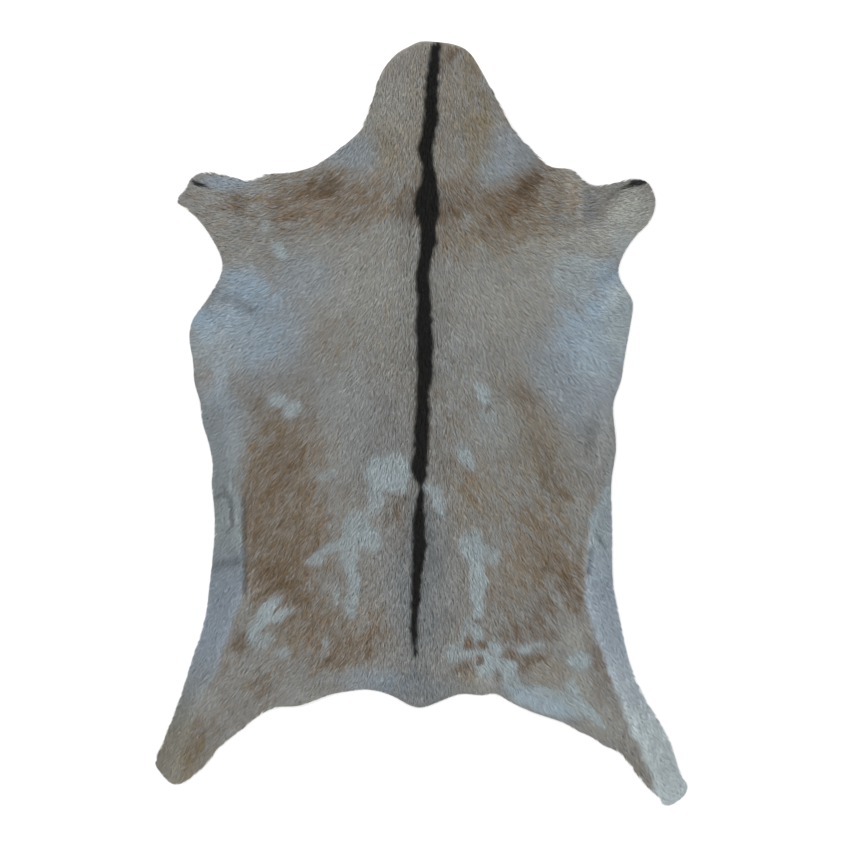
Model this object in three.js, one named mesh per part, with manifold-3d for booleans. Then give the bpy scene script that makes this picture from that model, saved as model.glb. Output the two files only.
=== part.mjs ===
// Goatskin rug: one tanned hide with its short coat on, laid flat with the hair side up.
// Millimetres. +Z is up and +Y runs along the spine to the neck. The origin lies on the floor
// under the middle of the hide.

import * as THREE from 'three';
import { mergeVertices } from 'three/addons/utils/BufferGeometryUtils.js';
import Module from 'manifold-3d';

// Tanned skin, and the depth of the coat that lies flat on it
const SKIN = 1.5;
const COAT_AT_EDGE = 2.5;
const COAT_ON_BACK = 6.5;
const COAT_FULL_INSIDE = 75; // distance in from the edge where the coat reaches its full depth
const LUMP = 0.5; // height of the coat's soft lumps, and how far apart they are
const LUMP_PITCH = { x: 118, y: 94 };

// The dark dorsal hair stands a little higher than the rest, along a slightly leaning spine
const SPINE_RISE = 1.4;
const SPINE_HALF_WIDTH = 22;
const SPINE_AT_MIDDLE = 1.4;
const SPINE_LEAN = 0.032;

// Fineness of the surface, of the edge and of the folds, and the spare size of what is cut away
const GRID = 15;
const EDGE_STEP = 9;
const FOLD_STEP = { along: 15, across: 9 };
const SPARE = 20;
const HOLLOW_CLEARANCE = 0.2; // a hollow starts where its fold has lifted by this much

// The edge of the hide, clockwise from the neck, as one smooth closed curve through these places
const EDGE = [
  { stretch: 'neck end', at: [[-33, 500], [-15, 510], [-2, 516], [25, 515], [45, 512], [64, 503]] },
  { stretch: 'neck, right', at: [[83, 475], [96, 450], [107, 427], [124, 396], [149, 368], [161, 355]] },
  { stretch: 'right shoulder', at: [[174, 347], [195, 344], [206, 339], [218, 324]] },
  { stretch: 'right foreleg', at: [[241, 319], [260, 325], [302, 325], [314, 303], [314, 292], [307, 272]] },
  { stretch: 'right armpit', at: [[288, 253], [269, 223], [264, 199], [274, 179], [284, 163]] },
  { stretch: 'right chest', at: [[283, 148], [272, 84], [268, 57], [258, 30], [257, 14]] },
  { stretch: 'right flank', at: [[261, -24], [261, -38], [255, -78], [256, -140], [257, -213]] },
  { stretch: 'right thigh', at: [[265, -257], [279, -321], [296, -363], [318, -398], [334, -430]] },
  { stretch: 'right hind foot', at: [[342, -454], [348, -473], [358, -485], [355, -500], [328, -516]] },
  { stretch: 'right hind, inside', at: [[320, -504], [308, -493], [282, -461], [268, -443], [245, -433]] },
  { stretch: 'right rump', at: [[228, -420], [215, -416], [196, -404], [147, -387], [121, -375]] },
  { stretch: 'tail, right', at: [[98, -362], [86, -366], [53, -364], [25, -374]] },
  { stretch: 'tail', at: [[2, -382], [-10, -381], [-42, -365]] },
  { stretch: 'left rump', at: [[-72, -358], [-96, -360], [-124, -365], [-166, -380], [-198, -382]] },
  { stretch: 'left hind, inside', at: [[-230, -401], [-244, -414], [-257, -422], [-272, -437]] },
  { stretch: 'left hind foot', at: [[-299, -468], [-326, -486], [-335, -486], [-353, -467], [-358, -458]] },
  { stretch: 'left thigh', at: [[-349, -434], [-326, -377], [-308, -321], [-290, -263], [-283, -213]] },
  { stretch: 'left flank', at: [[-277, -150], [-277, -118], [-281, -80], [-279, -60], [-284, -30]] },
  { stretch: 'left belly', at: [[-294, 4], [-296, 28], [-304, 54], [-306, 84]] },
  { stretch: 'left chest', at: [[-311, 115], [-307, 138], [-287, 165]] },
  { stretch: 'left armpit', at: [[-266, 211], [-287, 259], [-312, 287]] },
  { stretch: 'left foreleg', at: [[-325, 293], [-328, 301], [-314, 316], [-312, 325], [-297, 336]] },
  { stretch: 'left shoulder', at: [[-283, 337], [-245, 330], [-230, 326], [-215, 331], [-207, 337]] },
  { stretch: 'neck, left', at: [[-177, 339], [-138, 351], [-96, 383], [-79, 400], [-67, 435], [-54, 475]] },
];

// Soft folds where the dried hide lifts off the floor: middle of the crest, its heading in degrees
// from +X, and the crest's length, width and height
const FOLDS = [
  { name: 'right shoulder crease', x: 207, y: 297, heading: -82, length: 130, width: 52, lift: 7 },
  { name: 'left shoulder crease', x: -218, y: 292, heading: 84, length: 120, width: 56, lift: 6 },
  { name: 'right foreleg', x: 276, y: 288, heading: 32, length: 110, width: 56, lift: 5 },
  { name: 'left foreleg', x: -285, y: 303, heading: -18, length: 100, width: 52, lift: 5 },
  { name: 'right armpit', x: 252, y: 168, heading: 20, length: 110, width: 60, lift: 5 },
  { name: 'left armpit', x: -262, y: 160, heading: -24, length: 120, width: 58, lift: 6 },
  { name: 'left chest ripple', x: -281, y: 46, heading: 70, length: 110, width: 46, lift: 5 },
  { name: 'right chest ripple', x: 244, y: -32, heading: 82, length: 120, width: 46, lift: 5 },
  { name: 'left flank ripple', x: -258, y: -108, heading: 86, length: 130, width: 50, lift: 6 },
  { name: 'left flank wave', x: -259, y: -212, heading: 62, length: 90, width: 44, lift: 4 },
  { name: 'right flank crease', x: 234, y: -184, heading: -78, length: 110, width: 46, lift: 6 },
  { name: 'left hind leg', x: -288, y: -386, heading: 58, length: 190, width: 62, lift: 5 },
  { name: 'right hind leg', x: 284, y: -398, heading: -58, length: 200, width: 60, lift: 5 },
  { name: 'neck, left', x: -66, y: 404, heading: 62, length: 120, width: 56, lift: 5 },
  { name: 'neck, right', x: 112, y: 392, heading: -58, length: 130, width: 58, lift: 5 },
  { name: 'tail', x: -5, y: -366, heading: 88, length: 70, width: 64, lift: 4 },
  { name: 'left rump', x: -152, y: -370, heading: 10, length: 110, width: 48, lift: 4 },
  { name: 'right rump', x: 162, y: -380, heading: -22, length: 130, width: 50, lift: 4 },
];

const COAT_COLOUR = '#7d7b76';
const COAT_ROUGHNESS = 0.9;

const wasm = await Module();
wasm.setup();

function edgeOfHide() {
  const places = EDGE.flatMap((row) => row.at.map(([x, y]) => new THREE.Vector3(x, y, 0)));
  const curve = new THREE.CatmullRomCurve3(places, true, 'centripetal');
  const steps = Math.round(curve.getLength() / EDGE_STEP);
  const loop = curve.getSpacedPoints(steps).slice(0, steps);
  return loop.map((place) => new THREE.Vector2(place.x, place.y));
}

// One at the middle of a bump, falling softly to nothing at a distance of one
function softBump(distance) {
  return Math.abs(distance) < 1 ? Math.cos((distance * Math.PI) / 2) ** 2 : 0;
}

function foldLift(fold, x, y) {
  const heading = THREE.MathUtils.degToRad(fold.heading);
  const along = (x - fold.x) * Math.cos(heading) + (y - fold.y) * Math.sin(heading);
  const across = (y - fold.y) * Math.cos(heading) - (x - fold.x) * Math.sin(heading);
  return fold.lift * softBump(along / (fold.length / 2)) * softBump(across / (fold.width / 2));
}

// Height of the flesh side over the floor: none, except under a fold
function undersideHeight(x, y) {
  return Math.max(...FOLDS.map((fold) => foldLift(fold, x, y)));
}

function coatDepth(edge, x, y) {
  const here = new THREE.Vector2(x, y);
  const inside = Math.min(...edge.map((place) => place.distanceTo(here)));
  const share = THREE.MathUtils.smoothstep(inside, 0, COAT_FULL_INSIDE);
  const spine = softBump((x - SPINE_AT_MIDDLE - SPINE_LEAN * y) / SPINE_HALF_WIDTH);
  const lump = Math.sin((2 * Math.PI * x) / LUMP_PITCH.x) * Math.sin((2 * Math.PI * y) / LUMP_PITCH.y);
  const back = COAT_ON_BACK + SPINE_RISE * spine + LUMP * lump;
  return THREE.MathUtils.lerp(COAT_AT_EDGE, back, share);
}

// Raises the top of a block to a height that depends on the place
function raiseTop(block, heightAt) {
  const places = block.attributes.position;
  for (let i = 0; i < places.count; i += 1) {
    if (places.getZ(i) >= 0) {
      places.setZ(i, heightAt(places.getX(i), places.getY(i)));
    }
  }
}

// A block larger than the hide, with the relief of the coat and the folds on its top
function reliefBlock(edge) {
  const box = new THREE.Box2().setFromPoints(edge).expandByScalar(SPARE);
  const size = box.getSize(new THREE.Vector2());
  const middle = box.getCenter(new THREE.Vector2());
  const columns = Math.round(size.x / GRID);
  const rows = Math.round(size.y / GRID);
  const block = new THREE.BoxGeometry(size.x, size.y, SPARE, columns, rows, 1);
  block.translate(middle.x, middle.y, -SPARE / 2);
  raiseTop(block, (x, y) => undersideHeight(x, y) + SKIN + coatDepth(edge, x, y));
  return block;
}

function edgePrism(edge) {
  return new THREE.ExtrudeGeometry(new THREE.Shape(edge), { depth: 2 * SPARE, bevelEnabled: false });
}

// The hollow that a fold leaves between the hide and the floor
function foldHollow(fold) {
  const columns = Math.round(fold.length / FOLD_STEP.along);
  const rows = Math.round(fold.width / FOLD_STEP.across);
  const hollow = new THREE.BoxGeometry(fold.length, fold.width, SPARE, columns, rows, 1);
  hollow.translate(0, 0, -SPARE / 2);
  hollow.rotateZ(THREE.MathUtils.degToRad(fold.heading));
  hollow.translate(fold.x, fold.y, 0);
  raiseTop(hollow, (x, y) => foldLift(fold, x, y) - HOLLOW_CLEARANCE);
  return hollow;
}

function solidOf(geometry) {
  geometry.deleteAttribute('normal');
  geometry.deleteAttribute('uv');
  const merged = mergeVertices(geometry);
  const mesh = new wasm.Mesh({
    numProp: 3,
    vertProperties: merged.attributes.position.array,
    triVerts: new Uint32Array(merged.index.array),
  });
  return new wasm.Manifold(mesh);
}

function geometryOf(solid) {
  const mesh = solid.getMesh();
  const geometry = new THREE.BufferGeometry();
  geometry.setAttribute('position', new THREE.BufferAttribute(mesh.vertProperties, 3));
  geometry.setIndex(new THREE.BufferAttribute(mesh.triVerts, 1));
  geometry.computeVertexNormals();
  return geometry;
}

function goatskin() {
  const edge = edgeOfHide();
  let hide = solidOf(reliefBlock(edge)).intersect(solidOf(edgePrism(edge)));
  for (const fold of FOLDS) {
    hide = hide.subtract(solidOf(foldHollow(fold)));
  }
  const geometry = geometryOf(hide);
  const middle = new THREE.Box2().setFromPoints(edge).getCenter(new THREE.Vector2());
  geometry.translate(-middle.x, -middle.y, 0);
  const coat = new THREE.MeshStandardMaterial({
    color: COAT_COLOUR,
    roughness: COAT_ROUGHNESS,
    metalness: 0,
  });
  const mesh = new THREE.Mesh(geometry, coat);
  mesh.name = 'goatskin';
  return mesh;
}

const rug = new THREE.Group();
rug.add(goatskin());

export default rug;
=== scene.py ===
# Goatskin rug: a tanned hide with its short coat on, laid flat with the hair side up.
# Metres, in the part's own frame: +Z is up and +Y runs along the spine to the neck.
# The tables of marks, guides and creases are in millimetres, and MM brings them to metres.

from collections import namedtuple

import bmesh
import bpy
import numpy as np
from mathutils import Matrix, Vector
from mathutils.bvhtree import BVHTree
from mathutils.geometry import delaunay_2d_cdt
from mathutils.kdtree import KDTree


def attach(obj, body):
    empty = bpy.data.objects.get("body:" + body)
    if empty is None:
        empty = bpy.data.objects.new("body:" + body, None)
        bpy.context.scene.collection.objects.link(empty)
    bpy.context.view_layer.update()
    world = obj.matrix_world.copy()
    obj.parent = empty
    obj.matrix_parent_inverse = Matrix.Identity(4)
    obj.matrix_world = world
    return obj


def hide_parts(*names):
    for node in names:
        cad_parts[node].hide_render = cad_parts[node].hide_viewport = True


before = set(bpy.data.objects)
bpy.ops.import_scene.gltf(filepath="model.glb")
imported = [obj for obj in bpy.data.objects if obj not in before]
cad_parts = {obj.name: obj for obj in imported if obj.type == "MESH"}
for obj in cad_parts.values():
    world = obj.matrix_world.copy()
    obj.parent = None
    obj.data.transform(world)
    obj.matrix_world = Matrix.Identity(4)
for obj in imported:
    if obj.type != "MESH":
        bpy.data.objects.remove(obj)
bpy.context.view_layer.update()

MM = 0.001

# Skin, and how finely the hide and the plan of it are divided
SKIN = 1.5 * MM
SKIN_INSET = 1.5 * MM
SKIN_EDGE_STEP = 5 * MM
SKIN_GRID = 9 * MM
SKIN_EDGE_GAP = 0.6 * SKIN_GRID  # least distance of the grid's points from the edge
PLAN_STEP = 3 * MM
PLAN_MARGIN = 24 * MM
LAST_PLACE = 1.001  # places are read up to just before the plan's last row and column
RIM_STEP = 1.5 * MM
WELD = 1e-6
RAY_HEIGHT = 1.0  # well above and below the hide
STEEP = 0.5  # a face whose normal rises less than this is wall, not top

# The coat, layer by layer from the skin out: sizes of a lock, and how high its root, its bend and
# its tip are in the depth of the coat
Layer = namedtuple("Layer", "name length width root bend tip")
LAYERS = [
    Layer("undercoat", 12 * MM, 2.4 * MM, -0.10, 0.36, 0.44),
    Layer("lower_coat", 13.5 * MM, 1.8 * MM, 0.10, 0.52, 0.60),
    Layer("middle_coat", 15 * MM, 1.45 * MM, 0.30, 0.68, 0.76),
    Layer("upper_coat", 16 * MM, 1.2 * MM, 0.45, 0.80, 0.90),
    Layer("guard_hair", 17 * MM, 1.0 * MM, 0.55, 0.90, 1.00),
]
LOCK_SPACING = 3.16 * MM
LOCK_BEND = 0.42  # where a lock bends over, as a share of its length
LOCK_ARCH = 0.35 * MM  # least height of its bend over the line from its root to its tip
LOCK_OVERHANG = 2.0 * MM  # how far a lock may reach past the hide's edge
LOCK_LEAST_RUN = 1 * MM  # least change of distance from the edge along a lock, where it is shortened
LOCK_LEAST_LIFT = 0.88  # how high the lowest locks of a layer lie, compared with the highest
LENGTH_SPREAD = 0.18
WIDTH_SPREAD = 0.25
TURN_SPREAD = np.radians(8)
TUFT_TURN = np.radians(8)
TUFT_SIZE = 15 * MM
BRIGHTNESS_SPREAD = 0.05
WARM_SPREAD = 0.24  # how much more the brightness differs among brown hairs
# painted shade: the roots of the locks, and the skin's hair side, are darkened as if shaded by the
# hair over them
ROOT_SHADE = 0.95
TIP_SHADE = 1.02
COLOUR_STOPS = (0.35, 0.6, 0.85)  # where a lock's root, bend and tip take their colour along it
STREAK_STEPS = 2  # how far hairs of a like colour follow each other, in steps of the plan
STREAK_SHARE = 0.6  # the rest of the grizzle differs from lock to lock

# Seeds of all that is random, and the size of the lattice that noise is read from
STREAK_SEED = 20
WARP_SEEDS = (20, 21)
CROSS_WARP_SEEDS = (30, 31)
STRIPE_SEED = 40
BLOTCH_SEEDS = (50, 51)
TUFT_SEED = 60
LAYER_SEED = 120
NOISE_LATTICE = 256

# Shorter hair towards the ends of the hide: place, reach and length compared with the back. It is
# fully short in the inner share of the reach
ShortHair = namedtuple("ShortHair", "x y reach length")
SHORT_HAIR = [
    ShortHair(0, 490, 150, 0.85),
    ShortHair(-300, 310, 90, 0.8),
    ShortHair(295, 300, 90, 0.8),
    ShortHair(-330, -450, 120, 0.85),
    ShortHair(335, -470, 120, 0.85),
]
SHORT_HAIR_INNER = 0.4

# Which way the coat lies on the right half, heading in degrees from +X. The left half mirrors it
Guide = namedtuple("Guide", "x y heading")
GUIDES = [
    Guide(15, 500, -90), Guide(60, 490, -80), Guide(50, 430, -82), Guide(100, 420, -62),
    Guide(20, 400, -88), Guide(70, 380, -72), Guide(130, 370, -45), Guide(20, 310, -80),
    Guide(60, 310, -58), Guide(100, 320, -38), Guide(140, 300, -25), Guide(200, 300, -16),
    Guide(170, 250, -24), Guide(220, 250, -18), Guide(100, 260, -42), Guide(250, 290, 8),
    Guide(300, 300, 25), Guide(270, 250, 0), Guide(250, 200, -25), Guide(260, 150, -20),
    Guide(15, 200, -84), Guide(50, 200, -66), Guide(100, 180, -54), Guide(170, 170, -40),
    Guide(220, 120, -36), Guide(15, 50, -84), Guide(60, 50, -68), Guide(120, 50, -54),
    Guide(180, 40, -48), Guide(240, 30, -44), Guide(15, -100, -84), Guide(70, -100, -68),
    Guide(140, -100, -60), Guide(200, -100, -56), Guide(240, -120, -62), Guide(15, -250, -86),
    Guide(60, -250, -74), Guide(120, -250, -58), Guide(180, -240, -54), Guide(230, -260, -60),
    Guide(0, -360, -90), Guide(50, -340, -78), Guide(110, -330, -58), Guide(170, -350, -50),
    Guide(230, -380, -52), Guide(290, -400, -56), Guide(330, -480, -56),
]
GUIDE_REACH = 25 * MM

# Colours of the coat as they show in soft daylight, how soft the edges of their marks are, and how
# much they differ from hair to hair
Tone = namedtuple("Tone", "red green blue soft grizzle")
TONES = {
    "coat": Tone(132, 133, 131, 0.5, 0.0),
    "beige": Tone(134, 128, 117, 0.6, 0.3),
    "tan": Tone(118, 104, 85, 0.5, 0.4),
    "gold": Tone(124, 114, 93, 0.6, 0.4),
    "brown": Tone(97, 79, 59, 0.5, 0.4),
    # dark hair, and also painted shade in a crease
    "smoke_and_shade": Tone(74, 70, 63, 0.7, 0.4),
    "pale": Tone(148, 159, 163, 0.3, 0.2),
    "blue": Tone(139, 157, 172, 0.6, 0.2),
    # hair of this colour, and also painted shade where the hide folds
    "grey_and_shade": Tone(110, 117, 122, 0.5, 0.3),
    "cream": Tone(154, 156, 151, 0.5, 0.2),
    "dark": Tone(15, 15, 14, 0.3, 0.1),
}
COAT_TAN = 0.13  # share of tan hair in the plain coat, and how much it differs
COAT_TAN_SPREAD = 0.36

# Marks on the coat: middle, half length along the heading, half width, heading and strength
Mark = namedtuple("Mark", "tone x y along across heading strength")
MARKS = [
    # Broad warm, pale and dark tints all over the hide, and painted shade in a crease beside the neck
    Mark("beige", 9, 422, 81, 101, 0, 0.65), Mark("gold", -41, 372, 18, 44, 0, 0.45),
    Mark("gold", 80, 378, 20, 50, 12, 0.7), Mark("gold", 66, 478, 9, 24, 0, 0.6),
    Mark("cream", -75, 195, 80, 85, 0, 0.3), Mark("cream", 130, 185, 95, 75, 0, 0.3),
    Mark("grey_and_shade", -205, 15, 75, 60, 0, 0.2), Mark("beige", 187, 312, 30, 26, 0, 0.6),
    Mark("pale", 243, 105, 42, 48, 0, 0.35), Mark("pale", -265, 108, 42, 45, 0, 0.3),
    Mark("smoke_and_shade", 4, 110, 26, 210, 0, 0.24), Mark("smoke_and_shade", -5, -190, 24, 90, 0, 0.3),
    Mark("smoke_and_shade", -18, 288, 17, 24, 0, 0.5), Mark("smoke_and_shade", 33, 285, 20, 22, 0, 0.5),
    # painted shade: the mark at -105, 361 darkens the crease where the neck meets the left shoulder
    Mark("smoke_and_shade", -105, 361, 12, 6, -40, 0.35), Mark("gold", -325, -440, 34, 48, 0, 0.75),
    Mark("cream", 232, -385, 45, 25, -50, 0.35), Mark("cream", 232, 245, 46, 30, 0, 0.5),
    Mark("cream", -38, 425, 22, 40, 0, 0.4), Mark("tan", 42, 252, 30, 30, 0, 0.5),
    Mark("brown", 6, 290, 38, 30, 0, 0.4), Mark("grey_and_shade", -60, -20, 40, 70, 0, 0.3),
    Mark("cream", -164, -294, 22, 14, 0, 0.3), Mark("gold", 75, -112, 40, 45, 0, 0.3),
    Mark("gold", 160, -30, 40, 90, 15, 0.35), Mark("cream", 213, -348, 16, 20, 0, 0.4),
    # Bluish and pale hair on the thin flanks, in the armpits, beside the neck and at the tail, and
    # painted shade in the folds of the left armpit and of both shoulders
    Mark("blue", -248, 186, 30, 24, 0, 0.8), Mark("blue", -225, 165, 27, 19, 0, 0.6),
    Mark("blue", -295, 132, 16, 24, 0, 0.7), Mark("blue", -232, 118, 68, 47, 0, 0.6),
    Mark("blue", -279, 51, 18, 40, 0, 0.55), Mark("blue", -262, -20, 18, 55, 0, 0.45),
    # painted shadow: the mark at -254, 162 darkens the fold across the left armpit
    Mark("blue", -278, 146, 28, 18, 0, 0.6), Mark("grey_and_shade", -254, 162, 34, 10, -24, 0.55),
    Mark("blue", 254, 192, 19, 24, 0, 0.8), Mark("blue", 261, 152, 30, 27, 0, 0.8),
    Mark("blue", 234, 125, 47, 47, 0, 0.7), Mark("blue", 215, 60, 70, 65, 0, 0.45),
    Mark("grey_and_shade", 228, -42, 28, 40, 0, 0.3), Mark("pale", 212, 196, 38, 30, 0, 0.6),
    Mark("blue", 254, 186, 18, 20, 0, 0.4), Mark("pale", 270, 142, 26, 46, 0, 0.9),
    Mark("pale", 100, -5, 34, 34, 0, 0.2), Mark("pale", 250, 98, 36, 45, 0, 0.35),
    Mark("pale", 272, 245, 18, 22, 0, 0.5), Mark("cream", 165, 243, 34, 22, 0, 0.45),
    Mark("blue", -164, 192, 40, 34, 0, 0.3), Mark("cream", -275, 90, 30, 40, 0, 0.25),
    Mark("pale", -112, 50, 36, 130, 0, 0.2), Mark("pale", 55, 84, 36, 40, 0, 0.2),
    Mark("blue", -97, 361, 34, 24, 0, 0.35), Mark("blue", 119, 361, 34, 30, 0, 0.35),
    Mark("blue", 99, 334, 19, 16, 0, 0.3), Mark("blue", -265, 323, 34, 9, 0, 0.5),
    # painted shade: the marks at -222, 303 and 227, 294 darken the folds where the forelegs meet the
    # shoulders
    Mark("grey_and_shade", -222, 303, 10, 25, 0, 0.55), Mark("cream", 281, 280, 34, 30, 0, 0.75),
    Mark("grey_and_shade", 227, 294, 11, 27, 0, 0.35), Mark("grey_and_shade", -9, -361, 54, 24, 0, 0.6),
    Mark("blue", -63, -348, 46, 14, 0, 0.35), Mark("smoke_and_shade", -9, -352, 26, 26, 0, 0.2),
    Mark("grey_and_shade", -5, -215, 46, 120, 0, 0.5),
    # Brown shoulders, and a paler place on the left flank
    Mark("tan", -137, 298, 84, 38, 0, 0.6), Mark("brown", -138, 316, 38, 17, 0, 0.85),
    Mark("smoke_and_shade", -127, 315, 22, 11, 0, 0.35), Mark("brown", -83, 290, 22, 19, 0, 0.3),
    Mark("brown", -110, 262, 28, 17, 0, 0.15), Mark("brown", -184, 280, 27, 14, 0, 0.2),
    Mark("gold", 122, 265, 58, 38, 0, 0.42), Mark("tan", 122, 280, 60, 38, 0, 0.4),
    Mark("tan", 207, 300, 8, 24, 0, 0.4), Mark("tan", 52, 300, 22, 24, 0, 0.3),
    Mark("tan", -54, 300, 26, 24, 0, 0.35), Mark("cream", -165, -184, 16, 14, 0, 0.3),
    Mark("brown", 126, 302, 54, 24, 45, 0.45), Mark("brown", 139, 309, 32, 15, 50, 0.85),
    Mark("smoke_and_shade", 144, 315, 20, 8, 55, 0.4), Mark("brown", 119, 256, 36, 22, 0, 0.15),
    Mark("brown", 207, 269, 14, 10, 0, 0.3), Mark("brown", 65, 307, 19, 24, 0, 0.35),
    Mark("brown", -252, 294, 19, 16, 0, 0.35), Mark("brown", 250, 296, 20, 14, 40, 0.25),
    Mark("brown", 45, 496, 14, 6, 40, 0.6), Mark("brown", 32, 489, 9, 24, 0, 0.25),
    Mark("brown", 48, 287, 18, 12, 0, 0.4),
    # Brown left flank and rump, and two places on the right thigh
    Mark("tan", -165, -20, 58, 52, 0, 0.15), Mark("tan", -288, 58, 9, 14, 0, 0.4),
    Mark("tan", -190, -132, 60, 125, 0, 0.75), Mark("smoke_and_shade", -192, -140, 48, 100, 0, 0.12),
    Mark("brown", -220, -132, 22, 38, 0, 0.35), Mark("tan", 214, -215, 20, 45, 0, 0.3),
    Mark("cream", 210, -292, 22, 20, 0, 0.5), Mark("brown", -187, -84, 20, 24, 0, 0.35),
    Mark("brown", -184, -226, 34, 19, -35, 0.4), Mark("brown", -157, -172, 27, 16, 0, 0.3),
    Mark("brown", -151, -253, 30, 24, 0, 0.4), Mark("brown", -151, -287, 11, 14, 0, 0.45),
    Mark("brown", -205, -199, 34, 19, 0, 0.3), Mark("brown", -225, 24, 14, 19, 0, 0.15),
    Mark("brown", -164, 3, 30, 24, 0, 0.12), Mark("brown", -184, -44, 24, 27, 0, 0.25),
    Mark("tan", -117, 111, 34, 34, 0, 0.35), Mark("tan", -120, -285, 70, 42, 0, 0.5),
    Mark("brown", -103, -307, 40, 19, 0, 0.35), Mark("brown", -130, -327, 24, 8, 0, 0.5),
    Mark("brown", -63, -294, 20, 14, 0, 0.2), Mark("brown", -245, -294, 11, 16, 0, 0.45),
    Mark("brown", -272, -331, 8, 11, 0, 0.3), Mark("brown", -215, -361, 11, 22, 0, 0.35),
    Mark("brown", -313, -429, 20, 40, 0, 0.2), Mark("brown", -29, -111, 11, 34, 0, 0.35),
    Mark("brown", -32, -152, 14, 27, 0, 0.2),
    # Brown right flank, thigh and rump
    Mark("tan", 150, 22, 50, 22, -62, 0.35), Mark("brown", 145, 30, 20, 7, -62, 0.3),
    Mark("brown", 168, -55, 52, 12, -64, 0.25), Mark("brown", 129, -91, 12, 8, -40, 0.2),
    Mark("brown", 180, -84, 16, 30, 0, 0.3), Mark("tan", 160, -172, 34, 54, 0, 0.6),
    Mark("brown", 187, -206, 40, 19, -40, 0.25), Mark("brown", 205, -233, 27, 14, -55, 0.55),
    Mark("brown", 167, -249, 20, 9, 0, 0.45), Mark("brown", 146, -287, 34, 14, 0, 0.4),
    Mark("brown", 147, -262, 24, 13, 0, 0.35), Mark("tan", 65, -91, 16, 22, 0, 0.5),
    Mark("tan", 106, -213, 34, 40, 0, 0.4), Mark("brown", 237, -321, 38, 8, -62, 0.4),
    Mark("brown", 254, -361, 34, 16, -55, 0.25),
    # White patches on the shoulders and the back
    Mark("pale", -193, 231, 11, 7, -60, 0.75), Mark("pale", -209, 265, 8, 8, 0, 0.35),
    Mark("pale", -195, 28, 12, 9, 0, 0.8), Mark("pale", -175, 16, 12, 12, 0, 0.8),
    Mark("pale", 84, 38, 12, 9, -50, 0.8), Mark("pale", 91, 10, 11, 14, 0, 0.4),
    Mark("brown", 91, 20, 4, 4, 0, 0.5), Mark("pale", 60, -47, 19, 9, -70, 0.75),
    Mark("pale", -44, -70, 28, 22, 0, 0.85), Mark("pale", -60, -66, 14, 18, 0, 0.7),
    Mark("pale", -29, -78, 14, 19, 0, 0.8), Mark("pale", -63, -105, 11, 22, 0, 0.6),
    Mark("pale", -38, -52, 11, 11, 0, 0.6), Mark("pale", -126, -72, 16, 7, 20, 0.45),
    Mark("pale", 22, -105, 22, 8, -75, 0.8), Mark("pale", 9, -88, 11, 8, 0, 0.8),
    # White patches on the left flank and thigh
    Mark("pale", -90, -145, 19, 24, 0, 0.75), Mark("pale", -70, -159, 16, 16, 0, 0.75),
    Mark("pale", -124, -172, 22, 8, 25, 0.7), Mark("pale", -144, -186, 14, 9, 0, 0.7),
    Mark("pale", -97, -179, 11, 19, 0, 0.6), Mark("pale", -90, -213, 8, 30, 0, 0.7),
    Mark("pale", -97, -250, 9, 14, 0, 0.75), Mark("pale", -114, -233, 5, 14, 0, 0.5),
    Mark("pale", -212, -263, 31, 10, 52, 0.9), Mark("pale", -192, -262, 17, 6.5, 25, 0.85),
    Mark("pale", -216, -297, 16, 9, 0, 0.6), Mark("brown", -196, -255, 7, 2.5, 45, 0.6),
    Mark("pale", -187, -311, 11, 7, 0, 0.6), Mark("pale", -129, -300, 5, 11, 0, 0.6),
    # White patches on the right flank, rump and thigh
    Mark("pale", 70, -167, 17, 19, 0, 0.9), Mark("pale", 72, -186, 9, 19, 0, 0.8),
    Mark("pale", 75, -226, 11, 36, 0, 0.85), Mark("pale", 75, -256, 8, 11, 0, 0.75),
    Mark("pale", 88, -179, 16, 11, -50, 0.6), Mark("pale", 102, -179, 5, 14, 0, 0.5),
    Mark("pale", 60, -277, 5, 14, 0, 0.5), Mark("pale", 72, -280, 14, 8, -50, 0.6),
    Mark("pale", 47, -312, 13, 11, 0, 0.6), Mark("pale", 57, -294, 4, 14, 0, 0.5),
    Mark("pale", 75, -286, 7, 14, 0, 0.8), Mark("pale", 101, -305, 8, 9, 0, 0.9),
    Mark("pale", 88, -331, 14, 19, 0, 0.9), Mark("pale", 116, -332, 14, 17, 20, 0.9),
    Mark("pale", 141, -307, 9, 7, 0, 0.9), Mark("pale", 159, -300, 8, 4, 0, 0.6),
    Mark("cream", 86, -351, 18, 9, 0, 0.6), Mark("beige", 172, -338, 28, 22, 0, 0.6),
    Mark("pale", 155, -374, 48, 15, -22, 0.85), Mark("pale", 190, -380, 34, 17, -25, 0.85),
    Mark("pale", 204, -357, 6, 14, 0, 0.7), Mark("pale", 225, -390, 29, 6, -46, 0.9),
    Mark("pale", 217, -323, 10, 12, 0, 0.75), Mark("pale", 204, -322, 8, 8, 0, 0.4),
    Mark("pale", 96, -326, 14, 13, 0, 0.8), Mark("pale", 118, -340, 12, 16, 25, 0.8),
    Mark("pale", 74, -314, 18, 6, 0, 0.7), Mark("pale", 214, -322, 16, 10, 0, 0.8),
    Mark("pale", 208, -368, 18, 6, -50, 0.8), Mark("blue", 162, -378, 44, 12, -22, 0.4),
    # Brown spots in the white of the rump, and the white between them
    Mark("brown", 75, -270, 5, 5, 0, 0.45), Mark("brown", 66, -300, 6, 8, 0, 0.6),
    Mark("brown", 81, -303, 6, 7, 0, 0.8), Mark("brown", 59, -330, 10, 9, 0, 0.55),
    Mark("brown", 79, -324, 3.5, 6.5, 0, 0.75), Mark("brown", 103, -339, 4.5, 10, 12, 0.45),
    Mark("brown", 122, -314, 11, 7, -15, 0.7), Mark("brown", 152, -320, 16, 7, 0, 0.65),
    Mark("brown", 142, -334, 8, 9, 0, 0.45), Mark("pale", 141, -307, 9, 5, 0, 0.7),
    Mark("pale", 159, -301, 11, 4, 10, 0.6), Mark("gold", 66, -345, 10, 10, 0, 0.4),
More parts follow.
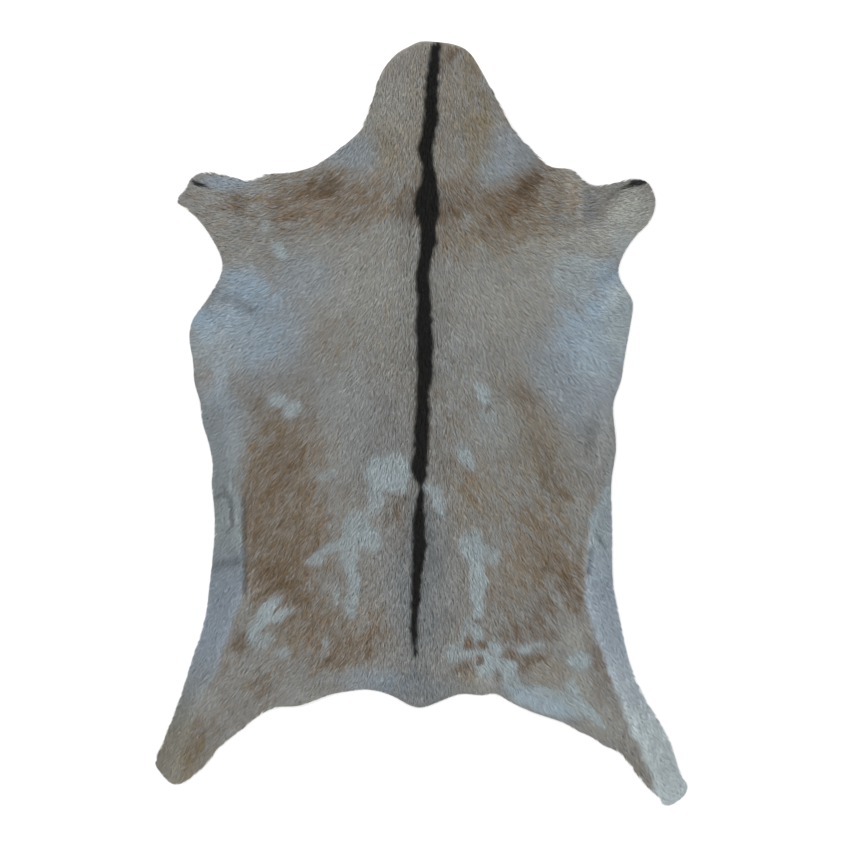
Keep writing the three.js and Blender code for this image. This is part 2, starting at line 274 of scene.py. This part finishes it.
    # Dark marks on the forelegs
    Mark("dark", -300, 322, 13, 3.4, -24, 0.95), Mark("dark", 294, 323, 12, 3.6, 8, 0.95),
    Mark("dark", 279, 319, 12, 2.6, 18, 0.7), Mark("dark", 262, 309, 18, 3.5, 35, 0.3),
]

# Thin hair along the belly, from these edges out to the hide's rim: where it starts on each side,
# how soft its edge is, and its colour
Belly = namedtuple("Belly", "y left right soft")
BELLY = [
    Belly(30, -262, 280, 34), Belly(-24, -252, 275, 28), Belly(-78, -248, 256, 18),
    Belly(-105, -240, 240, 9), Belly(-132, -240, 229, 6), Belly(-159, -240, 227, 5),
    Belly(-213, -237, 222, 5), Belly(-240, -244, 222, 5), Belly(-267, -254, 229, 6),
    Belly(-321, -271, 248, 6), Belly(-375, -295, 267, 6), Belly(-429, -318, 290, 7),
    Belly(-480, -333, 315, 8),
]
BellyTone = namedtuple("BellyTone", "y left right")
BELLY_TONES = [
    BellyTone(0, (124, 131, 135), (126, 136, 143)),
    BellyTone(-150, (128, 136, 137), (134, 145, 150)),
    BellyTone(-215, (122, 131, 140), (133, 144, 154)),
    BellyTone(-300, (130, 140, 150), (144, 154, 164)),
    BellyTone(-420, (121, 119, 109), (165, 175, 178)),
]
BELLY_SIDES = {"left": -1, "right": 1}
BELLY_HAIR = 0.85  # length of its hair compared with the back
BELLY_EDGE_LIGHT = 0.22  # how much paler its inner edge is, and how wide that edge is
BELLY_EDGE_WIDTH = 9 * MM

# The dark stripe along the spine: its middle and half width from the neck to the tail
Stripe = namedtuple("Stripe", "y middle half")
STRIPE = [
    Stripe(520, 24, 3), Stripe(506, 19.6, 6.5), Stripe(489, 17.6, 7), Stripe(462, 14.3, 8.6),
    Stripe(408, 12.4, 10), Stripe(384, 10, 9.6), Stripe(368, 4, 10.4), Stripe(341, 9.2, 8.6),
    Stripe(327, 11, 11.4), Stripe(307, 8, 15), Stripe(294, 6, 17.5), Stripe(280, 7.4, 16.6),
    Stripe(261, 9.6, 11), Stripe(240, 9.6, 12.4), Stripe(219, 4.6, 8.8), Stripe(192, 0.6, 9.4),
    Stripe(165, 3, 9.6), Stripe(138, 3.4, 11.4), Stripe(111, 4.4, 11.4), Stripe(64, 4.8, 10.8),
    Stripe(37, 0.8, 8.6), Stripe(10, 2, 9.6), Stripe(-10, 0, 11.6), Stripe(-37, -0.4, 9.6),
    Stripe(-64, -3.2, 10.8), Stripe(-76, -2, 9.6), Stripe(-88, 0, 3.4), Stripe(-105, -2, 5),
    Stripe(-125, -3, 8.4), Stripe(-145, -3.8, 9.2), Stripe(-168, -3, 10.4), Stripe(-186, -4.6, 8.8),
    Stripe(-226, -6.8, 6.8), Stripe(-246, -8.2, 5.8), Stripe(-267, -10.4, 5.2), Stripe(-294, -9.8, 5),
    Stripe(-310, -8.2, 3.4), Stripe(-330, -8.8, -1), Stripe(-350, -8.8, -4),
]
STRIPE_SOFT = 3.6 * MM
STRIPE_RAGGED = 2.0 * MM
STRIPE_RAGGED_SIZE = 8 * MM

# Creases where the coat parts: ends of the line, half width, depth as a share of the coat
Crease = namedtuple("Crease", "x1 y1 x2 y2 half depth")
CREASES = [
    Crease(-240, -105, -238, -228, 3, 0.5),
    Crease(-277, -102, -264, -96, 3, 0.5),
    Crease(-268, -86, -257, -107, 3, 0.4),
    Crease(-257, -107, -255, -139, 3, 0.5),
    Crease(-255, -139, -263, -149, 2.5, 0.35),
    Crease(-280, -195, -248, -187, 7, 0.4),
    Crease(229, -172, 226, -202, 3, 0.6),
    Crease(235, -150, 248, -170, 2.5, 0.45),
    Crease(-285, 174, -232, 151, 10, 0.14),
]
# painted shade: how much the coat's colour is darkened along the creases, at their full depth
CREASE_SHADE = 0.85

# Unevenness of the marks' edges and of the coat's brightness
WARP_SIZES = (12 * MM, 26 * MM)
WARP_REACH = 5 * MM
MARK_RAGGED = 0.24
BLOTCH_SIZES = (10 * MM, 42 * MM)
BLOTCH_SPREAD = 0.05

# Hair and suede: sizes of noise are counts to the metre, and pairs are the ends of a range
HAIR_STREAKS = 700
HAIR_MOTTLE = (0.93, 1.07)
HAIR_ROUGHNESS = (0.75, 0.5)
HAIR_SPECULAR = 0.25
HAIR_BUMP_NOISE = 1500
HAIR_BUMP = 0.25
HAIR_BUMP_HEIGHT = 0.3 * MM
SUEDE_CLOUDS = 35
SUEDE_DARK = (0.50, 0.44, 0.35, 1)
SUEDE_PALE = (0.68, 0.63, 0.54, 1)
SUEDE_RAMP = (0.3, 0.7)
SUEDE_ROUGH_NOISE = 600
SUEDE_ROUGHNESS = (0.8, 0.97)
SUEDE_BUMP_NOISE = 900
SUEDE_BUMP = 0.4
SUEDE_BUMP_HEIGHT = 0.4 * MM

# Light, floor and camera
LIGHT_GAIN = 0.79  # how bright the coat shows, compared with its own colour
WORLD_LIGHT = 1.32
KEY_PLACE = (-1.5, 1.3, 2.1)
KEY_SIZE = 2.4
KEY_POWER = 14  # watts
FLOOR_SIZE = 8.0
FLOOR_DROP = 0.4 * MM
FLOOR_COLOUR = (0.9, 0.9, 0.9, 1)
FLOOR_ROUGHNESS = 0.9
PHOTO_PIXEL = 1.35 * MM
PHOTO_PIXELS = 843
VIEW_MIDDLE = (0.0, PHOTO_PIXEL)
LENS = 85
SENSOR = 36


class Field:
    """Values on a square grid in plan, read anywhere between its places."""

    def __init__(self, values, low):
        self.values = values
        self.low = low

    def read(self, x, y):
        rows, columns = self.values.shape[:2]
        across = np.clip((x - self.low[0]) / PLAN_STEP, 0, columns - LAST_PLACE)
        along = np.clip((y - self.low[1]) / PLAN_STEP, 0, rows - LAST_PLACE)
        column = across.astype(int)
        row = along.astype(int)
        right = across - column
        up = along - row
        near = self.values[row, column] * (1 - right) + self.values[row, column + 1] * right
        far = self.values[row + 1, column] * (1 - right) + self.values[row + 1, column + 1] * right
        return near * (1 - up) + far * up


def smooth_step(low, high, value):
    share = np.clip((value - low) / (high - low), 0, 1)
    return share * share * (3 - 2 * share)


def smooth_noise(x, y, size, seed):
    """Seeded noise between -1 and 1 that changes softly over the given size."""
    lattice = np.random.default_rng(seed).uniform(-1, 1, (NOISE_LATTICE, NOISE_LATTICE))
    column = np.floor(x / size).astype(int)
    row = np.floor(y / size).astype(int)
    right = smooth_step(0, 1, x / size - column)
    up = smooth_step(0, 1, y / size - row)
    this_row = row % NOISE_LATTICE
    next_row = (row + 1) % NOISE_LATTICE
    this_column = column % NOISE_LATTICE
    next_column = (column + 1) % NOISE_LATTICE
    near = lattice[this_row, this_column] * (1 - right) + lattice[this_row, next_column] * right
    far = lattice[next_row, this_column] * (1 - right) + lattice[next_row, next_column] * right
    return near * (1 - up) + far * up


def linear_light(colour):
    """A screen colour of 0 to 255 as linear light, by the sRGB curve."""
    share = np.asarray(colour, float) / 255
    return np.where(share <= 0.04045, share / 12.92, ((share + 0.055) / 1.055) ** 2.4)


def solid_of_hide():
    solid = bmesh.new()
    solid.from_mesh(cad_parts["goatskin"].data)
    bmesh.ops.remove_doubles(solid, verts=solid.verts, dist=WELD)
    solid.normal_update()
    return solid


def rim_of(solid):
    """The hide's edge in order: where the top of the solid turns into its wall."""
    beside = {}
    for edge in solid.edges:
        rises = [face.normal.z for face in edge.link_faces]
        if min(rises) < STEEP < max(rises):
            one, other = edge.verts
            beside.setdefault(one, []).append(other)
            beside.setdefault(other, []).append(one)
    start = next(iter(beside))
    before = start
    here = beside[start][0]
    loop = [start.co.xy]
    while here is not start:
        loop.append(here.co.xy)
        one, other = beside[here]
        before, here = here, other if one is before else one
    return np.array(loop)


def evenly_spaced(loop, step):
    closed = np.vstack([loop, loop[:1]])
    reach = np.concatenate([[0], np.cumsum(np.hypot(*np.diff(closed, axis=0).T))])
    stops = np.linspace(0, reach[-1], round(reach[-1] / step), endpoint=False)
    return np.stack([np.interp(stops, reach, closed[:, i]) for i in (0, 1)], axis=1)


def spread_outwards(values):
    """Fills the empty places around the hide with the mean of their filled neighbours."""
    for _ in range(round(PLAN_MARGIN / PLAN_STEP)):
        padded = np.pad(values, 1, constant_values=np.nan)
        rows, columns = values.shape
        shifts = [padded[i:i + rows, j:j + columns] for i in range(3) for j in range(3)]
        filled = ~np.isnan(shifts)
        total = np.nansum(shifts, axis=0)
        count = filled.sum(axis=0)
        fill = np.isnan(values) & (count > 0)
        values = np.where(fill, total / np.maximum(count, 1), values)
    return np.nan_to_num(values)


def flow_of_coat(x, y):
    """Which way the coat lies, as a unit vector, from the nearest guides on both halves."""
    flow_x = np.zeros_like(x)
    flow_y = np.zeros_like(x)
    for guide in GUIDES:
        heading = np.radians(guide.heading)
        for side in (1, -1):
            gap = (x - side * guide.x * MM) ** 2 + (y - guide.y * MM) ** 2
            pull = 1 / (gap + GUIDE_REACH ** 2) ** 2
            flow_x += pull * side * np.cos(heading)
            flow_y += pull * np.sin(heading)
    size = np.hypot(flow_x, flow_y)
    return flow_x / size, flow_y / size


def streaks_along(x, y, flow_x, flow_y, low):
    """Noise drawn out along the coat, for hairs that are browner or paler than most."""
    specks = Field(np.random.default_rng(STREAK_SEED).normal(0, 1, x.shape), low)
    streaks = np.zeros_like(x)
    for step in range(-STREAK_STEPS, STREAK_STEPS + 1):
        streaks += specks.read(x + step * PLAN_STEP * flow_x, y + step * PLAN_STEP * flow_y)
    return streaks / streaks.std()


def grid_of_places(low, high, step, row_step):
    return np.meshgrid(np.arange(low[0], high[0], step), np.arange(low[1], high[1], row_step))


def tree_of_places(places):
    """A search tree that finds the nearest of some places in plan."""
    tree = KDTree(len(places))
    for index, place in enumerate(places):
        tree.insert((*place, 0), index)
    tree.balance()
    return tree


def read_plan(solid, rim):
    """The underside, the depth of the coat, the distance inside the edge and the flow, in plan."""
    low = rim.min(axis=0) - PLAN_MARGIN
    high = rim.max(axis=0) + PLAN_MARGIN
    x, y = grid_of_places(low, high, PLAN_STEP, PLAN_STEP)
    tree = BVHTree.FromBMesh(solid)
    edge = tree_of_places(rim)
    top = np.full(x.shape, np.nan)
    under = np.full(x.shape, np.nan)
    inside = np.zeros(x.shape)
    for spot in np.ndindex(x.shape):
        above = tree.ray_cast((x[spot], y[spot], RAY_HEIGHT), (0, 0, -1))[0]
        inside[spot] = edge.find((x[spot], y[spot], 0))[2]
        if above is None:
            inside[spot] = -inside[spot]
        else:
            top[spot] = above.z
            under[spot] = tree.ray_cast((x[spot], y[spot], -RAY_HEIGHT), (0, 0, 1))[0].z
    depth = spread_outwards(top - under - SKIN)
    flow_x, flow_y = flow_of_coat(x, y)
    streaks = streaks_along(x, y, flow_x, flow_y, low)
    return {
        "under": Field(spread_outwards(under), low),
        "depth": Field(depth * (1 - crease_depth(x, y)), low),
        "inside": Field(inside, low),
        "flow_x": Field(flow_x, low),
        "flow_y": Field(flow_y, low),
        "streaks": Field(streaks, low),
        "low": low,
        "high": high,
    }


def crease_depth(x, y):
    """How far the coat is pressed down, from none to one, along the creases."""
    deepest = np.zeros_like(x)
    for crease in CREASES:
        run = np.array([crease.x2 - crease.x1, crease.y2 - crease.y1]) * MM
        off_x = x - crease.x1 * MM
        off_y = y - crease.y1 * MM
        share = (off_x * run[0] + off_y * run[1]) / (run @ run)
        nearest = np.clip(share, 0, 1)
        gap = np.hypot(off_x - nearest * run[0], off_y - nearest * run[1])
        deepest = np.maximum(deepest, crease.depth * np.exp(-(gap / (crease.half * MM)) ** 2))
    return deepest


def mark_share(mark, x, y, grizzle):
    """How much of a mark shows at places in plan, with an edge that is ragged along the hairs."""
    heading = np.radians(mark.heading)
    off_x = x - mark.x * MM
    off_y = y - mark.y * MM
    along = (off_x * np.cos(heading) + off_y * np.sin(heading)) / (mark.along * MM)
    across = (off_y * np.cos(heading) - off_x * np.sin(heading)) / (mark.across * MM)
    tone = TONES[mark.tone]
    reach = np.hypot(along, across) - MARK_RAGGED * grizzle
    strength = mark.strength * (1 + tone.grizzle * grizzle)
    return np.clip(strength * smooth_step(1 + tone.soft, 1 - tone.soft, reach), 0, 1)


def mixed(colour, other, share):
    return colour + (other - colour) * share[:, None]


def tone_light(name):
    return linear_light(TONES[name][:3])


def table_at(rows, column, y):
    """A column of a table whose rows run down the hide, between its rows."""
    ordered = sorted(rows)
    return np.interp(y, [row.y * MM for row in ordered], [getattr(row, column) for row in ordered])


def past_belly_edge(side, x, y):
    """How far out from the edge of the belly's thin hair a place lies."""
    return BELLY_SIDES[side] * (x - table_at(BELLY, side, y) * MM)


def belly_share(past, y):
    soft = table_at(BELLY, "soft", y) * MM
    top_end = smooth_step(BELLY[0].y * MM + soft, BELLY[0].y * MM - soft, y)
    return top_end * smooth_step(-soft, soft, past)


def belly_colour(side, y):
    ordered = sorted(BELLY_TONES)
    places = [row.y * MM for row in ordered]
    colours = np.array([linear_light(getattr(row, side)) for row in ordered])
    return np.stack([np.interp(y, places, colours[:, i]) for i in range(3)], axis=1)


def noise_of_sizes(x, y, sizes, seeds):
    return sum(smooth_noise(x, y, size, seed) for size, seed in zip(sizes, seeds))


def with_belly(colour, at_x, y):
    """The colours with the thin hair of the belly, whose edge is uneven."""
    for side in BELLY_SIDES:
        past = past_belly_edge(side, at_x, y)
        light = 1 + BELLY_EDGE_LIGHT * np.exp(-(past / BELLY_EDGE_WIDTH) ** 2)
        thin_hair = belly_colour(side, y) * light[:, None]
        colour = mixed(colour, thin_hair, belly_share(past, y))
    return colour


def stripe_share(x, y):
    """How much of the dark stripe shows at places in plan."""
    ragged = STRIPE_RAGGED * smooth_noise(x, y, STRIPE_RAGGED_SIZE, STRIPE_SEED)
    gap = np.abs(x - table_at(STRIPE, "middle", y) * MM) + ragged
    return smooth_step(STRIPE_SOFT, -STRIPE_SOFT, gap - table_at(STRIPE, "half", y) * MM)


def coat_colour(x, y, grizzle):
    """Linear colour of the coat at places in plan, for hairs that are browner or paler than most."""
    at_x = x + WARP_REACH * noise_of_sizes(x, y, WARP_SIZES, WARP_SEEDS) / len(WARP_SIZES)
    at_y = y + WARP_REACH * noise_of_sizes(x, y, WARP_SIZES, CROSS_WARP_SEEDS) / len(WARP_SIZES)
    colour = np.tile(tone_light("coat"), (len(x), 1))
    colour = mixed(colour, tone_light("tan"), np.clip(COAT_TAN + COAT_TAN_SPREAD * grizzle, 0, 1))
    for mark in MARKS:
        colour = mixed(colour, tone_light(mark.tone), mark_share(mark, at_x, at_y, grizzle))
    colour = with_belly(colour, at_x, y)
    colour = mixed(colour, tone_light("dark"), stripe_share(x, y))
    blotch = noise_of_sizes(x, y, BLOTCH_SIZES, BLOTCH_SEEDS)
    # uneven brightness of the coat, and painted shade that darkens it along the creases
    shade = (1 + BLOTCH_SPREAD * blotch) * (1 - CREASE_SHADE * crease_depth(x, y))
    return colour * shade[:, None] / LIGHT_GAIN


def hair_length(x, y):
    """Length of the hair compared with the back."""
    length = np.ones_like(x)
    for short in SHORT_HAIR:
        gap = np.hypot(x - short.x * MM, y - short.y * MM)
        share = smooth_step(short.reach * MM, SHORT_HAIR_INNER * short.reach * MM, gap)
        length = np.minimum(length, 1 - (1 - short.length) * share)
    for side in BELLY_SIDES:
        share = belly_share(past_belly_edge(side, x, y), y)
        length = np.minimum(length, 1 - (1 - BELLY_HAIR) * share)
    return length


def scattered_roots(plan, rng):
    """Places for locks all over the hide, one in each square of a grid, off its middle."""
    x, y = grid_of_places(plan["low"], plan["high"], LOCK_SPACING, LOCK_SPACING)
    x = x.ravel() + rng.uniform(0, LOCK_SPACING, x.size)
    y = y.ravel() + rng.uniform(0, LOCK_SPACING, y.size)
    kept = plan["inside"].read(x, y) > SKIN_INSET
    return x[kept], y[kept]


def turned(flow, angle):
    cos = np.cos(angle)
    sin = np.sin(angle)
    across = flow[:, 0] * cos - flow[:, 1] * sin
    along = flow[:, 0] * sin + flow[:, 1] * cos
    return np.stack([across, along], axis=1)


def flow_at(plan, x, y):
    across = plan["flow_x"].read(x, y)
    along = plan["flow_y"].read(x, y)
    return np.stack([across, along], axis=1) / np.hypot(across, along)[:, None]


def held_inside(plan, root, way, length):
    """The lengths of locks, shorter where a lock would reach too far past the hide's edge."""
    reach = root + way * length[:, None]
    inside_root = plan["inside"].read(*root.T)
    inside_tip = plan["inside"].read(*reach.T)
    outside = np.maximum(-LOCK_OVERHANG - inside_tip, 0)
    return length * (1 - outside / np.maximum(inside_root - inside_tip, LOCK_LEAST_RUN))


def lock_corners(layer, plan, rng, root, way, angle, length):
    """Four corners of each lock: root, left, tip and right."""
    bend = root + way * (LOCK_BEND * length)[:, None]
    onward = turned(flow_at(plan, bend[:, 0], bend[:, 1]), angle)
    tip = bend + onward * ((1 - LOCK_BEND) * length)[:, None]
    side = np.stack([-way[:, 1], way[:, 0]], axis=1)
    half = (0.5 * layer.width * rng.uniform(1 - WIDTH_SPREAD, 1 + WIDTH_SPREAD, len(root)))[:, None]
    corners = np.zeros((len(root), 4, 3))
    corners[:, :, :2] = np.stack([root, bend + side * half, tip, bend - side * half], axis=1)
    lift = rng.uniform(LOCK_LEAST_LIFT, 1.0, len(root))
    for corner, share in enumerate((layer.root, layer.bend, layer.tip, layer.bend)):
        at_x = corners[:, corner, 0]
        at_y = corners[:, corner, 1]
        depth = plan["depth"].read(at_x, at_y)
        corners[:, corner, 2] = plan["under"].read(at_x, at_y) + SKIN + depth * share * lift
    straight = corners[:, 0, 2] * (1 - LOCK_BEND) + corners[:, 2, 2] * LOCK_BEND
    for corner in (1, 3):
        corners[:, corner, 2] = np.maximum(corners[:, corner, 2], straight + LOCK_ARCH)
    return corners


def lock_colours(plan, rng, root, way, length):
    """Colours of each lock's four corners. Brown locks differ more in brightness."""
    count = len(root)
    streak = plan["streaks"].read(*root.T)
    grizzle = STREAK_SHARE * streak + (1 - STREAK_SHARE) * rng.normal(0, 1, count)
    stops = [root + way * (stop * length)[:, None] for stop in COLOUR_STOPS]
    low, middle, high = (coat_colour(*places.T, grizzle) for places in stops)
    warmth = np.clip(1 - middle[:, 2] / middle[:, 0], 0, 1)
    bright = 1 + (BRIGHTNESS_SPREAD + WARM_SPREAD * warmth) * rng.normal(0, 1, count)
    # painted shade darkens each lock at its root
    colours = np.stack([low * ROOT_SHADE, middle, high * TIP_SHADE, middle], axis=1)
    return np.clip(colours * bright[:, None, None], 0, 1)


def locks_of(layer, plan, rng):
    """The corners of a layer's locks, and their colours."""
    x, y = scattered_roots(plan, rng)
    count = len(x)
    angle = TUFT_TURN * smooth_noise(x, y, TUFT_SIZE, TUFT_SEED) + rng.normal(0, TURN_SPREAD, count)
    root = np.stack([x, y], axis=1)
    way = turned(flow_at(plan, x, y), angle)
    length = layer.length * hair_length(x, y) * (1 + LENGTH_SPREAD * rng.uniform(-1, 1, count))
    length = held_inside(plan, root, way, length)
    corners = lock_corners(layer, plan, rng, root, way, angle, length)
    return corners, lock_colours(plan, rng, root, way, length)


# A lock's four faces, and where its corners lie in its own square of the texture map
LOCK_FACES = np.array([[0, 3, 1], [2, 1, 3], [0, 1, 2], [0, 2, 3]])
LOCK_MAP = np.array([[0.5, 0.06], [0.06, 0.5], [0.5, 0.94], [0.94, 0.5]])


def mesh_from_arrays(name, places, faces):
    mesh = bpy.data.meshes.new(name)
    mesh.vertices.add(len(places))
    mesh.vertices.foreach_set("co", places.astype(np.float32).ravel())
    mesh.loops.add(faces.size)
    mesh.loops.foreach_set("vertex_index", faces.astype(np.int32).ravel())
    mesh.polygons.add(len(faces))
    mesh.polygons.foreach_set("loop_start", np.arange(0, faces.size, 3, dtype=np.int32))
    mesh.update(calc_edges=True)
    return mesh


def paint(mesh, colours):
    """Keeps a colour for each point of a mesh, for its material to read."""
    layer = mesh.color_attributes.new("coat", "FLOAT_COLOR", "POINT")
    opaque = np.concatenate([colours, np.ones((len(colours), 1))], axis=1)
    layer.data.foreach_set("color", opaque.astype(np.float32).ravel())


def map_locks(mesh, count):
    """Gives each lock a square of its own in the texture map."""
    columns = int(np.ceil(np.sqrt(count)))
    index = np.arange(count)
    corner = np.stack([index % columns, index // columns], axis=1)
    spots = (corner[:, None, :] + LOCK_MAP[None, :, :]) / columns
    per_loop = spots[:, LOCK_FACES.ravel(), :]
    layer = mesh.uv_layers.new(name="OFBake")
    layer.uv.foreach_set("vector", per_loop.astype(np.float32).ravel())


def add_piece(mesh, *materials):
    for material in materials:
        mesh.materials.append(material)
    piece = bpy.data.objects.new(mesh.name, mesh)
    bpy.context.scene.collection.objects.link(piece)
    return piece


def hair_layer(layer, plan, material, seed):
    corners, colours = locks_of(layer, plan, np.random.default_rng(seed))
    count = len(corners)
    faces = (LOCK_FACES[None] + 4 * np.arange(count)[:, None, None]).reshape(-1, 3)
    mesh = mesh_from_arrays(layer.name, corners.reshape(-1, 3), faces)
    paint(mesh, colours.reshape(-1, 3))
    map_locks(mesh, count)
    return add_piece(mesh, material)


def inset_edge(plan, rim):
    """The hide's edge, a little inside the solid's, so that hair hangs over it."""
    edge = evenly_spaced(rim, SKIN_EDGE_STEP)
    ahead = np.roll(edge, -1, axis=0) - np.roll(edge, 1, axis=0)
    across = np.stack([-ahead[:, 1], ahead[:, 0]], axis=1) / np.hypot(*ahead.T)[:, None]
    trial = edge + across * SKIN_INSET
    inwards = np.where(plan["inside"].read(*trial.T) > plan["inside"].read(*edge.T), 1, -1)
    return edge + across * (inwards * SKIN_INSET)[:, None]


def hide_plan(plan, rim):
    """The hide's points in plan, its edge first, and its triangles."""
    edge = inset_edge(plan, rim)
    row_step = SKIN_GRID * np.sqrt(0.75)  # rows of triangles with even sides
    x, y = grid_of_places(plan["low"], plan["high"], SKIN_GRID, row_step)
    x[1::2] += SKIN_GRID / 2
    inner = np.stack([x.ravel(), y.ravel()], axis=1)
    inner = inner[plan["inside"].read(*inner.T) > SKIN_INSET + SKIN_EDGE_GAP]
    points = [Vector(place) for place in np.vstack([edge, inner])]
    loop = [(i, (i + 1) % len(edge)) for i in range(len(edge))]
    places, _, faces, _, _, _ = delaunay_2d_cdt(points, loop, [], 1, WELD)
    return np.array(places), np.array(faces), len(edge)


def hide_sheet(plan, rim, coat, flesh):
    """The skin: its hair side, its flesh side and the cut edge between them."""
    places, faces, edge_count = hide_plan(plan, rim)
    count = len(places)
    under = plan["under"].read(*places.T)
    upper = np.column_stack([places, under + SKIN])
    lower = np.column_stack([places, under])
    start = np.arange(edge_count)
    after = (start + 1) % edge_count
    first = faces[0]
    turn = np.cross(places[first[1]] - places[first[0]], places[first[2]] - places[first[0]])
    top = faces if turn > 0 else faces[:, ::-1]
    loop_turn = np.sum(np.cross(places[start], places[after]))
    if loop_turn < 0:
        start, after = after, start
    wall = np.concatenate([
        np.column_stack([start + count, after + count, after]),
        np.column_stack([start + count, after, start]),
    ])
    all_faces = np.concatenate([top, top[:, ::-1] + count, wall])
    mesh = mesh_from_arrays("hide", np.vstack([upper, lower]), all_faces)
    # the skin's hair side takes the coat's colour with the painted shade of the roots
    tints = coat_colour(*places.T, np.zeros(count)) * ROOT_SHADE
    paint(mesh, np.vstack([tints, tints]))
    piece = add_piece(mesh, coat, flesh)
    slots = np.concatenate([np.zeros(len(top)), np.ones(len(top) + len(wall))])
    mesh.polygons.foreach_set("material_index", slots.astype(np.int32))
    mesh.polygons.foreach_set("use_smooth", np.ones(len(mesh.polygons), bool))
    return piece


class Nodes:
    """A material's nodes, added and joined by name."""

    def __init__(self, name):
        self.material = bpy.data.materials.new(name)
        self.material.use_nodes = True
        self.tree = self.material.node_tree
        self.shader = self.tree.nodes["Principled BSDF"]

    def add(self, kind, **inputs):
        node = self.tree.nodes.new(kind)
        for key, value in inputs.items():
            node.inputs[key.replace("_", " ")].default_value = value
        return node

    def join(self, start, end):
        self.tree.links.new(start, end)

    def noise(self, scale, detail):
        place = self.add("ShaderNodeTexCoord")
        noise = self.add("ShaderNodeTexNoise", Scale=scale, Detail=detail)
        self.join(place.outputs["Object"], noise.inputs["Vector"])
        return noise.outputs["Fac"]

    def ranged(self, value, low, high):
        ranged = self.add("ShaderNodeMapRange", To_Min=low, To_Max=high)
        self.join(value, ranged.inputs["Value"])
        return ranged.outputs["Result"]

    def bump(self, height, strength, distance):
        bump = self.add("ShaderNodeBump", Strength=strength, Distance=distance)
        self.join(height, bump.inputs["Height"])
        self.join(bump.outputs["Normal"], self.shader.inputs["Normal"])


def coat_material():
    """Hair: the colour kept in each lock, with fine streaks and a dull gloss."""
    nodes = Nodes("coat_hair")
    colour = nodes.add("ShaderNodeVertexColor")
    colour.layer_name = "coat"
    streaks = nodes.noise(HAIR_STREAKS, 2)
    mottle = nodes.add("ShaderNodeVectorMath")
    mottle.operation = "SCALE"
    nodes.join(colour.outputs["Color"], mottle.inputs[0])
    nodes.join(nodes.ranged(streaks, *HAIR_MOTTLE), mottle.inputs["Scale"])
    nodes.join(mottle.outputs["Vector"], nodes.shader.inputs["Base Color"])
    nodes.join(nodes.ranged(streaks, *HAIR_ROUGHNESS), nodes.shader.inputs["Roughness"])
    nodes.shader.inputs["Specular IOR Level"].default_value = HAIR_SPECULAR
    nodes.bump(nodes.noise(HAIR_BUMP_NOISE, 1), HAIR_BUMP, HAIR_BUMP_HEIGHT)
    return nodes.material


def flesh_material():
    """The tanned flesh side: pale suede."""
    nodes = Nodes("flesh_suede")
    cloud = nodes.noise(SUEDE_CLOUDS, 4)
    ramp = nodes.add("ShaderNodeValToRGB")
    for end, place, colour in zip(ramp.color_ramp.elements, SUEDE_RAMP, (SUEDE_DARK, SUEDE_PALE)):
        end.position = place
        end.color = colour
    nodes.join(cloud, ramp.inputs["Fac"])
    nodes.join(ramp.outputs["Color"], nodes.shader.inputs["Base Color"])
    rough = nodes.ranged(nodes.noise(SUEDE_ROUGH_NOISE, 3), *SUEDE_ROUGHNESS)
    nodes.join(rough, nodes.shader.inputs["Roughness"])
    nodes.bump(nodes.noise(SUEDE_BUMP_NOISE, 3), SUEDE_BUMP, SUEDE_BUMP_HEIGHT)
    return nodes.material


def floor_material():
    nodes = Nodes("pale_floor")
    nodes.shader.inputs["Base Color"].default_value = FLOOR_COLOUR
    nodes.shader.inputs["Roughness"].default_value = FLOOR_ROUGHNESS
    return nodes.material


def make_floor():
    half = FLOOR_SIZE / 2
    corners = np.array([[-half, -half], [half, -half], [half, half], [-half, half]])
    places = np.column_stack([corners, np.full(4, -FLOOR_DROP)])
    mesh = mesh_from_arrays("floor", places, np.array([[0, 1, 2], [0, 2, 3]]))
    add_piece(mesh, floor_material())


def make_light():
    world = bpy.data.worlds.new("studio")
    world.use_nodes = True
    background = world.node_tree.nodes["Background"]
    background.inputs["Color"].default_value = (1, 1, 1, 1)
    background.inputs["Strength"].default_value = WORLD_LIGHT
    bpy.context.scene.world = world
    light = bpy.data.lights.new("key", "AREA")
    light.size = KEY_SIZE
    light.energy = KEY_POWER
    key = bpy.data.objects.new("key", light)
    key.location = KEY_PLACE
    key.rotation_euler = Vector(KEY_PLACE).to_track_quat("Z", "Y").to_euler()
    key.visible_camera = False
    bpy.context.scene.collection.objects.link(key)


def make_camera():
    """Straight down on the middle of the hide, with the photo's framing."""
    camera = bpy.data.cameras.new("camera")
    camera.lens = LENS
    camera.sensor_width = SENSOR
    stand = bpy.data.objects.new("camera", camera)
    distance = PHOTO_PIXEL * PHOTO_PIXELS * LENS / SENSOR
    stand.location = (*VIEW_MIDDLE, distance)
    bpy.context.scene.collection.objects.link(stand)
    bpy.context.scene.camera = stand
    bpy.context.scene.view_settings.view_transform = "Standard"


def make_rug():
    solid = solid_of_hide()
    rim = evenly_spaced(rim_of(solid), RIM_STEP)
    plan = read_plan(solid, rim)
    solid.free()
    coat = coat_material()
    hide = hide_sheet(plan, rim, coat, flesh_material())
    hair = [hair_layer(layer, plan, coat, LAYER_SEED + i) for i, layer in enumerate(LAYERS)]
    for piece in (hide, *hair):
        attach(piece, "root")
    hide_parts("goatskin")


make_camera()
make_light()
make_floor()
make_rug()
